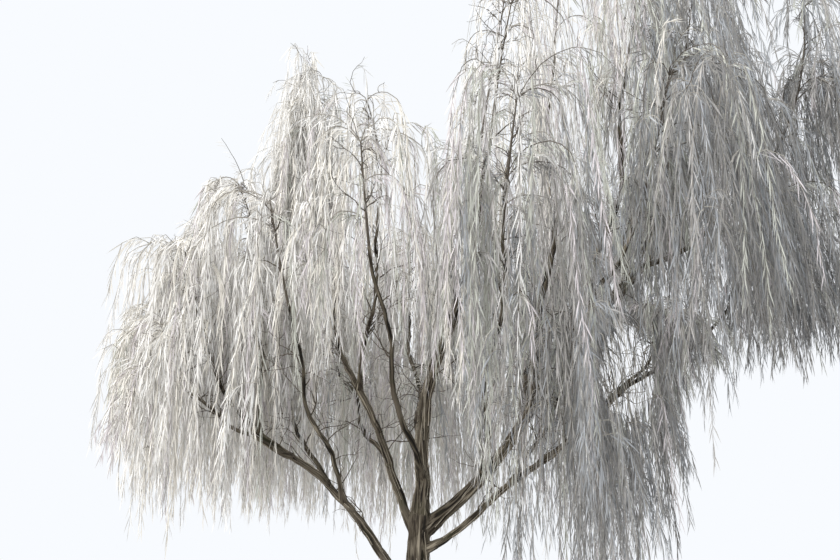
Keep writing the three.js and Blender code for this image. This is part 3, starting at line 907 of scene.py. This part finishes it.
# Roots, directions, side vectors and lengths of the leaves along a line
def leavesAlong(path, random):
    own = lengthsAlong(path)
    keep = own[-1]
    bare = min(leafForm["bare"], keep * leafForm["bareShare"])
    count = max(1, int((keep - bare) / leafForm["spacing"]))
    at = bare + (np.arange(count) + random.uniform(*leafForm["uneven"], count)) * leafForm["spacing"]
    at = np.minimum(at, keep)
    root = placesOn(path, own, at)
    leafy = ~(inOpening(root) & (random.uniform(0, 1, count) < opening["leafless"]))
    leafy &= random.uniform(0, 1, count) > airy["bare"] * airyAt(root) + lowAiry["bare"] * lowAiryAt(root)
    at, root, count = at[leafy], root[leafy], int(leafy.sum())
    reach = leafForm["tangentReach"]
    along = placesOn(path, own, np.minimum(at + reach, keep)) - placesOn(path, own, at - reach)
    along /= np.linalg.norm(along, axis=-1, keepdims=True) + 1e-9
    hanging = unit(along * leafForm["alongTwig"] + np.array([0, 0, leafForm["downward"]]))
    turn = random.uniform(0, 360) + leafForm["spiral"] * np.arange(count)
    out = towards(turn, np.zeros(count))
    out = unit(out - hanging * (out * hanging).sum(axis=-1, keepdims=True))
    angle = np.radians(random.uniform(*leafForm["angle"], count))[:, None]
    direction = hanging * np.cos(angle) + out * np.sin(angle)
    side = unit(np.cross(direction, out))
    roll = np.radians(random.normal(0, leafForm["roll"], count))[:, None]
    side = side * np.cos(roll) + np.cross(direction, side) * np.sin(roll)
    length = random.uniform(*leafForm["length"], count) * (1 - leafForm["shorterAtTip"] * (at / keep) ** 4)
    return root, direction, side, length


# The five points (n, 5, 3) of each leaf
def leafArrays(root, direction, side, length):
    droop = np.array([0, 0, -leafForm["droop"]])
    reach = length[:, None]

    def middle(share):
        return root + (direction * share + droop * share * share) * reach

    corners = [middle(share) + side * (half * leafForm["width"] * reach) for share, half in leafForm["corners"]]
    return np.stack([root, *corners, middle(1.0)], axis=1)


# A leaf's three faces over its five points
leafCorners = np.array([0, 2, 1, 1, 2, 3, 3, 2, 4])

# Tints that the sprays are dealt, each with its tone, from pale to shaded: the pale end painted light, the darker
# tints with their lilac and blue-grey painted shade
tints = {
    "leafPearl": ((0.85, 0.84, 0.82), 0.0),
    "leafCream": ((0.79, 0.765, 0.71), 0.14),
    "leafSilver": ((0.70, 0.70, 0.69), 0.3),
    "leafLilac": ((0.62, 0.585, 0.605), 0.43),
    "leafSage": ((0.51, 0.525, 0.475), 0.57),
    "leafAsh": ((0.43, 0.42, 0.41), 0.7),
    "leafMist": ((0.36, 0.38, 0.405), 0.84),
    "leafSlate": ((0.25, 0.25, 0.25), 1.0),
}
tintTones = np.array([tone for _, tone in tints.values()])
leafGloss = {"Roughness": 0.55, "Sheen Weight": 0.25, "Specular IOR Level": 0.3}

# Leaders are dealt grey on the left and bark on the right, and other twigs grey or straw
twigTints = {"twigBark": (0.085, 0.07, 0.052), "twigGrey": (0.28, 0.26, 0.23), "twigStraw": (0.47, 0.45, 0.4)}
twigDealt = dict(barkAt=(-0.6, 2.4), grey=0.4)


def leafMaterial(name, colour):
    material, tree, shader = newMaterial(name)
    feed(tree, shader, {"Base Color": (*colour, 1), **leafGloss})
    return material


leafMaterials = [leafMaterial(name, colour) for name, (colour, _) in tints.items()]
twigMaterials = [leafMaterial(name, colour) for name, colour in twigTints.items()]

branchlet = dict(
    perBough=10, perLimb=15, perStem=8, onStem=0.6, at=(0.22, 0.98), climb=(20, 62), forward=0.35,
    length=(0.28, 0.75), kink=0.26, radius=(0.0045, 0.0085), end=0.0016, sprig=0.004, sprigEnd=0.4, forks=2,
    forkTurn=0.75, forkLength=0.55, forkRadius=0.55, forkEnd=0.8, points=8, sides=3,
)


# Kinked lines (n, points, 3) that set out from their starts
def kinkedLines(start, direction, length, random):
    points = [start]
    heading = unit(direction)
    for _ in range(branchlet["points"] - 1):
        heading = unit(heading + random.normal(0, branchlet["kink"], heading.shape))
        points.append(points[-1] + heading * (length / (branchlet["points"] - 1))[:, None])
    return np.stack(points, axis=1)


# Branchlets along a line and their forks, with their radii at start and end. One too tall goes with its forks.
def branchletsOn(line, count, random, longest=1.0):
    share = random.uniform(*branchlet["at"], count)
    start, ahead = pointAt(line, share), tangentAt(line, share)
    outward = towards(random.uniform(0, 360, count), random.uniform(*branchlet["climb"], count))
    length = random.uniform(*branchlet["length"], count) * longest
    radius = random.uniform(*branchlet["radius"], count)
    first = kinkedLines(start, outward + ahead * branchlet["forward"], length, random)
    paths, radii, ends = [first], [radius], [np.full(count, branchlet["end"])]
    for _ in range(branchlet["forks"]):
        at = random.integers(1, branchlet["points"] - 1, count)
        forked = first[np.arange(count), at]
        onward = unit(first[np.arange(count), at + 1] - forked)
        aside = unit(onward + random.normal(0, branchlet["forkTurn"], onward.shape))
        paths.append(kinkedLines(forked, aside, length * branchlet["forkLength"], random))
        radii.append(radius * branchlet["forkRadius"])
        ends.append(np.full(count, branchlet["end"] * branchlet["forkEnd"]))
    tallest = np.max([path[:, :, 2].max(axis=1) for path in paths], axis=0)
    inside = np.tile(tallest < cadBox[1][2] - leafRoom, len(paths))
    return np.concatenate(paths)[inside], np.concatenate(radii)[inside], np.concatenate(ends)[inside]


# Foot heights of lines that reach out from their starts. short: how much of a line may be cut off.
# clump: each line's number for its clump, where lines hang in clumps.
def footOf(name, start, heading, reach, random, short, clump=None):
    below = start + towards(heading, 0) * reach[:, None]
    lowest = masses[name]["top"] - masses[name].get("drop", space["curtain"])
    deepest = np.maximum(hemAt(below[:, 0], below[:, 1]), lowest)
    raised = random.uniform(0, 1, len(start))
    if clump is not None:
        raised = raised * (1 - hem["clumped"]) + clump * hem["clumped"]
    foot = deepest + hem["ragged"] * raised
    cut = random.uniform(0, 1, len(start)) ** 2 * short
    return foot + np.maximum(start[:, 2] - foot, 0) * cut


growth = dict(
    leaders=10, leaderFrom=0.8, tip=0.99, leaderShort=0.15, plumeAt=(0.3, 0.95),
    nodes=4, perNode=4, nodeSize=0.02, sideFrom=(0.02, 0.64), sideTurn=85, sideLaunch=(-30, 58),
    sideBend=(0.05, 0.24), short=0.8,
    coreTwigs=27, coreFrom=0.55, boughShare=0.5, coreLaunch=(30, 66), coreBend=(0.1, 0.62),
    sprigs=6, perSprig=5, sprigFrom=0.26, hungFrom=0.35, sprigRise=(0.08, 0.5), sprigLean=0.22,
    sprigBend=(0.03, 0.13), sprigLaunch=(25, 75), sprigHang=(0.3, 1.3),
    innerAbove=3.0, innerBehind=0.15, innerLaunch=(10, 60), innerHang=(0.4, 1.7), innerFoot=0.6, innerFree=9,
)
# Twigs are few here, so that the limbs and the sky show through. front: only before this place. x: across the view.
thinned = [
    dict(front=-0.1, x=(-2.2, 0.3), z=(0, 5.0), keep=0.25),
    dict(front=0.1, x=(0.68, 1.45), z=(0, 5.5), keep=0.24),
    dict(front=0.1, x=(1.45, 2.1), z=(3.3, 5.5), keep=0.33),
    dict(front=9, x=(-0.8, 1.0), z=(5.1, 9), keep=0.16),
    dict(front=9, x=(1.0, 1.7), z=(5.4, 9), keep=0.28),
    dict(front=9, x=(1.5, 9), z=(6.4, 9), keep=0.55),
]
leaderKind, twigKind, innerKind = range(3)


# Which lines are left out where twigs are few
def leftOut(paths, random):
    middle = paths[:, hang["archSteps"]]
    across, dealt = acrossView(middle), random.uniform(0, 1, len(paths))
    few = np.zeros(len(paths), bool)
    for part in thinned:
        (left, right), (bottom, top) = part["x"], part["z"]
        within = (middle[:, 1] < part["front"]) & (across > left) & (across < right)
        few |= within & (middle[:, 2] > bottom) & (middle[:, 2] < top) & (dealt > part["keep"])
    return few


# Lines with their radii at start and end, and their kind
def lineSet(paths, radii, kind):
    return (paths, *(np.full(len(paths), value) for value in (*radii, kind)))


# Lines that hang from their starts, with their launch drawn in a range
def hungSet(start, heading, bend, foot, launchRange, radii, kind, random):
    launch = random.uniform(*launchRange, len(start))
    return lineSet(hangingLines(start, heading, launch, bend, foot, random), radii, kind)


# Leaders of a mass with their headings, each one's number for its clump and the share of each that is kept
def leadersOf(name, random):
    mass, own = masses[name], stems[name]
    count = max(4, round(growth["leaders"] * mass["full"]))
    order = (np.arange(count) + 0.5) / count - 0.5
    heading = boughs[name]["aim"] + mass["fan"] * order + random.uniform(-shoot["turn"], shoot["turn"], count)
    lower = random.uniform(0.0, growth["leaderFrom"], count)
    share = np.where(np.arange(count) % 2, lower, growth["tip"])
    start = pointAt(own["line"], share)
    narrowed = 1 - (1 - plumes.get(name, 1)) * smoothstep(share, *growth["plumeAt"])
    bend = own["bend"] * random.uniform(shoot["least"], 1, count) * narrowed
    launch = shoot["launch"] * random.uniform(shoot["flattest"], 1, count)
    clump = random.uniform(0, 1, count)
    foot = footOf(name, start, heading, bend, random, growth["leaderShort"], clump)
    leaders = hangingLines(start, heading, launch, bend, foot, random)
    lengths, kept = keptLengths(name, leaders, random)
    return leaders, heading, clump, kept / lengths[:, -1]


# Side twigs fan out from a few nodes along each leader
def sideTwigs(name, leaders, headings, clump, reached, random):
    many = growth["nodes"] * growth["perNode"]
    start, heading = [], []
    for line, turned, full in zip(leaders, headings, reached):
        share = np.repeat(random.uniform(*growth["sideFrom"], growth["nodes"]), growth["perNode"])
        start.append(pointAt(line, (share + random.uniform(0, growth["nodeSize"], many)) * full))
        heading.append(turned + random.uniform(-growth["sideTurn"], growth["sideTurn"], many))
    start, heading = np.vstack(start), np.concatenate(heading)
    bend = random.uniform(*growth["sideBend"], len(start))
    foot = footOf(name, start, heading, bend, random, growth["short"], np.repeat(clump, many))
    return hungSet(start, heading, bend, foot, growth["sideLaunch"], twigForm["side"], twigKind, random)


# Core twigs launch from the bough's outer part and from the stem
def coreTwigs(name, random):
    mass, own = masses[name], stems[name]
    count = max(6, round(growth["coreTwigs"] * mass["full"]))
    onBough = pointAt(lines[name], random.uniform(mass.get("coreFrom", growth["coreFrom"]), 1, count))
    onStem = pointAt(own["line"], random.uniform(0, 1, count))
    start = np.where(random.uniform(0, 1, (count, 1)) < growth["boughShare"], onBough, onStem)
    heading = random.uniform(0, 360, count)
    bend = own["bend"] * random.uniform(*growth["coreBend"], count)
    foot = footOf(name, start, heading, bend, random, growth["short"])
    return hungSet(start, heading, bend, foot, growth["coreLaunch"], twigForm["core"], twigKind, random)


# Upright sprigs over the crest with their radii, and the few twigs that hang from each
def crestSprigs(name, leaders, reached, random):
    count = max(3, round(growth["sprigs"] * masses[name]["full"]))
    chosen = random.integers(0, len(leaders), count)
    share = random.uniform(0, growth["sprigFrom"], count) * reached[chosen]
    foot = np.array([pointAt(leaders[one], at) for one, at in zip(chosen, share)])
    rise = random.uniform(*growth["sprigRise"], count)
    upright = unit(np.array([0, 0, 1.0]) + random.normal(0, growth["sprigLean"], (count, 3)))
    sprigs = kinkedLines(foot, upright, rise, random)
    onSprig = np.repeat(np.arange(count), growth["perSprig"])
    place = random.uniform(growth["hungFrom"], 1, len(onSprig))
    start = np.array([pointAt(sprigs[one], share) for one, share in zip(onSprig, place)])
    total = len(start)
    heading, bend = random.uniform(0, 360, total), random.uniform(*growth["sprigBend"], total)
    foot = start[:, 2] - random.uniform(*growth["sprigHang"], total)
    hung = hungSet(start, heading, bend, foot, growth["sprigLaunch"], twigForm["hung"], twigKind, random)
    thick = np.full(count, branchlet["sprig"])
    return (sprigs, thick, thick * branchlet["sprigEnd"]), hung


# The branchlets of a limb that are inside the crown, and the twigs that hang from them
def innerTwigs(paths, random):
    tips = paths[:, -1]
    inner = paths[(tips[:, 2] > growth["innerAbove"]) & (tips[:, 1] > growth["innerBehind"])]
    start = np.vstack([inner[:, -1], inner[:, -3]])
    total = len(start)
    foot = start[:, 2] - random.uniform(*growth["innerHang"], total)
    foot = np.maximum(foot, hemAt(start[:, 0], start[:, 1]) + growth["innerFoot"])
    bend = random.uniform(*growth["sprigBend"], total)
    heading = random.uniform(0, 360, total)
    launchRange, radii = growth["innerLaunch"], twigForm["hung"]
    return inner, hungSet(start, heading, bend, foot, launchRange, radii, innerKind, random)


# Grows a mass. Gives its lines with their lengths, kept lengths, radii and kinds, the other branchlets that
# carry leaves, the branchlets and sprigs with their radii, and its random numbers for the leaves.
def growMass(name):
    random = np.random.default_rng(massSeed["first"] + massSeed["step"] * massPlaces[name])
    leaders, heading, clump, reached = leadersOf(name, random)
    sets = [
        lineSet(leaders, (shoot["radius"], shoot["end"]), leaderKind),
        sideTwigs(name, leaders, heading, clump, reached, random),
        coreTwigs(name, random),
    ]
    sprigs, hung = crestSprigs(name, leaders, reached, random)
    small = [sprigs, branchletsOn(stems[name]["line"], branchlet["perStem"], random, branchlet["onStem"])]
    many = branchlet["perLimb" if kindOf(name) == "onTrunk" else "perBough"]
    onLimb = branchletsOn(lines[name], many, random)
    inner, innerHung = innerTwigs(onLimb[0], random)
    paths, thick, thin, kind = (np.concatenate(column) for column in zip(*sets, hung, innerHung))
    free = np.where(kind == innerKind, growth["innerFree"], 0)[:, None]
    lengths, kept = keptLengths(name, paths, random, free)
    good = (kept > twigForm["shortest"]) & ~(leftOut(paths, random) & (kind != leaderKind))
    leafy = np.concatenate([part[0] for part in small] + [inner])
    return [part[good] for part in (paths, lengths, kept, thick, thin, kind)], leafy, small + [onLimb], random


# Sprays are dealt darker tints to the right and lower down as painted shade, and paler ones upward as painted light:
# 0 is the palest, 1 the most shaded
paintedShading = dict(
    middle=0.46, rightward=0.245, upward=-0.15, level=4.5, limits=(-2.6, 3.0), darkest=0.92, patch=0.1,
    pitch=(2.3, 1.7), spread=0.22,
)


def dealTints(place, shift, random):
    # Painted shade darkens the tints rightward and downward; painted light pales them upward and in the airy top
    across = np.clip(place[:, 0], *paintedShading["limits"])
    tone = paintedShading["middle"] + paintedShading["rightward"] * across
    tone += paintedShading["upward"] * (place[:, 2] - paintedShading["level"])
    rightward, upward = paintedShading["pitch"]
    tone += paintedShading["patch"] * np.sin(rightward * place[:, 0] + place[:, 1]) * np.sin(upward * place[:, 2])
    tone = np.minimum(tone, paintedShading["darkest"]) + shift - airy["paler"] * airyAt(place)
    wanted = np.clip(random.normal(tone, paintedShading["spread"]), 0, 1)
    return np.abs(wanted[:, None] - tintTones).argmin(axis=1)


# Adds a region's leaves and twigs. Gives the number of leaves and the branchlets of its masses.
def addRegion(region, members):
    leaves, tintOf, tubes, branchlets = [], [], [], []

    def addLeaves(paths, dealt, random, size=1.0):
        for path, tint in zip(paths, dealt):
            root, direction, side, length = leavesAlong(path, random)
            leaves.append(leafArrays(root, direction, side, length * size))
            tintOf.append(np.full(len(root), tint))

    for name in members:
        (paths, lengths, kept, thick, thin, kind), leafy, small, random = growMass(name)
        branchlets.extend(small)
        paintedShadingShift = paintedShadingShifts.get(name, 0)
        sprayTints = dealTints(paths[:, hang["archSteps"]], paintedShadingShift, random)
        isLeader = kind == leaderKind
        for chosen, points, sides in zip((isLeader, ~isLeader), twigForm["points"], twigForm["sides"]):
            shown = resampled(paths[chosen], lengths[chosen], kept[chosen], points)
            verts, quads = tubeArrays(shown, thick[chosen], thin[chosen], sides)
            barkShare = smoothstep(shown[:, 0, 0], *twigDealt["barkAt"])
            dealt = random.uniform(0, 1, chosen.sum())
            slots = np.where(isLeader[chosen], 1 - (dealt < barkShare), 1 + (dealt > twigDealt["grey"]))
            tubes.append((verts, quads, np.repeat(slots, sides * (sum(points) - 1))))
            addLeaves(shown, sprayTints[chosen], random)
        addLeaves(leafy, dealTints(leafy[:, -1], paintedShadingShift, random), random, leafForm["onSprig"])
        stemRadii = np.array([[stem["radius"]], [shoot["radius"]]])
        tubes.append(plainTubes(stems[name]["line"][None], *stemRadii, stem["sides"]))
    leaves, tintOf = np.concatenate(leaves), np.concatenate(tintOf)
    count = len(leaves)
    corners = (leafCorners[None] + np.arange(count)[:, None] * 5).ravel()
    mesh = arrayMesh(f"leaves_{snake(region)}", leaves.reshape(-1, 3), corners, np.full(3 * count, 3),
                     np.repeat(tintOf, 3), False)
    addPiece(mesh, leafMaterials, [f"foliage_{snake(member)}" for member in members])
    addPiece(tubeMesh(f"twigs_{snake(region)}", tubes), twigMaterials)
    print(region, "leaves:", count)
    return count, branchlets


def addBranchlets(parts):
    paths, radii, ends = (np.concatenate(column) for column in zip(*parts))
    tubes = plainTubes(paths, radii, ends, branchlet["sides"])
    addPiece(tubeMesh("branchlets", [tubes]), [twigBark])
    print("branchlets:", len(paths))


addStrips()
leafTotal, allBranchlets = 0, []
for region, members in regions.items():
    leafCount, branchlets = addRegion(region, members)
    leafTotal += leafCount
    allBranchlets.extend(branchlets)
print("leaves in all:", leafTotal)
addBranchlets(allBranchlets)

# Stage: a pale floor, soft light from behind on the left with wide fills in front, and the camera
stage = dict(floor=90.0, colour=(0.46, 0.452, 0.44), clouds=0.97, roughness=0.85, sky=(0.94, 0.965, 1.0))
# turn and height: where a light stands, in degrees. angle: how soft it is.
lights = {
    "backSun": dict(turn=158, height=42, strength=2.7, angle=14, colour=(1.0, 0.95, 0.87)),
    "frontFill": dict(turn=228, height=21.6, strength=1.4, angle=34, colour=(1.0, 0.97, 0.93)),
    "lowFill": dict(turn=264, height=4, strength=0.55, angle=21, colour=(1.0, 0.98, 0.95)),
}
# sensor in millimetres, focal and wide in pixels of the photo, pitch in degrees
camera = dict(sensor=36, focal=1250, wide=840, pitch=11.838, farthest=400)


def addFloor():
    work = bmesh.new()
    bmesh.ops.create_circle(work, cap_ends=True, segments=96, radius=stage["floor"])
    floor = addObject("floor", meshFrom(work, "floor"))
    material, tree, shader = newMaterial("paleFloor")
    clouds = noiseNode(tree, addNode(tree, "TexCoord", {}).outputs["Object"], 0.6, 4)
    pale = stage["colour"]
    stops = [(0.3, tuple(stage["clouds"] * value for value in pale)), (0.7, pale)]
    feed(tree, shader, {"Base Color": rampNode(tree, clouds, stops), "Roughness": stage["roughness"]})
    floor.data.materials.append(material)


def addSky():
    world = bpy.data.worlds.new("softSky")
    world.use_nodes = True
    world.node_tree.nodes["Background"].inputs["Color"].default_value = (*stage["sky"], 1)
    bpy.context.scene.world = world


def addLight(name, look):
    light = bpy.data.lights.new(name, "SUN")
    light.energy, light.angle, light.color = look["strength"], math.radians(look["angle"]), look["colour"]
    facing = Vector(towards(look["turn"], look["height"])).to_track_quat("Z", "Y")
    addObject(name, light).rotation_euler = facing.to_euler()


def addCamera():
    data = bpy.data.cameras.new("photoView")
    data.sensor_width, data.lens = camera["sensor"], camera["sensor"] * camera["focal"] / camera["wide"]
    data.clip_end = camera["farthest"]
    eye = addObject("photoView", data)
    eye.location = viewPoint
    eye.rotation_euler = (math.radians(90 + camera["pitch"]), 0, 0)
    bpy.context.scene.camera = eye


bpy.context.scene.view_settings.view_transform = "Standard"
addFloor()
addSky()
for name, look in lights.items():
    addLight(name, look)
addCamera()
print("stage set")
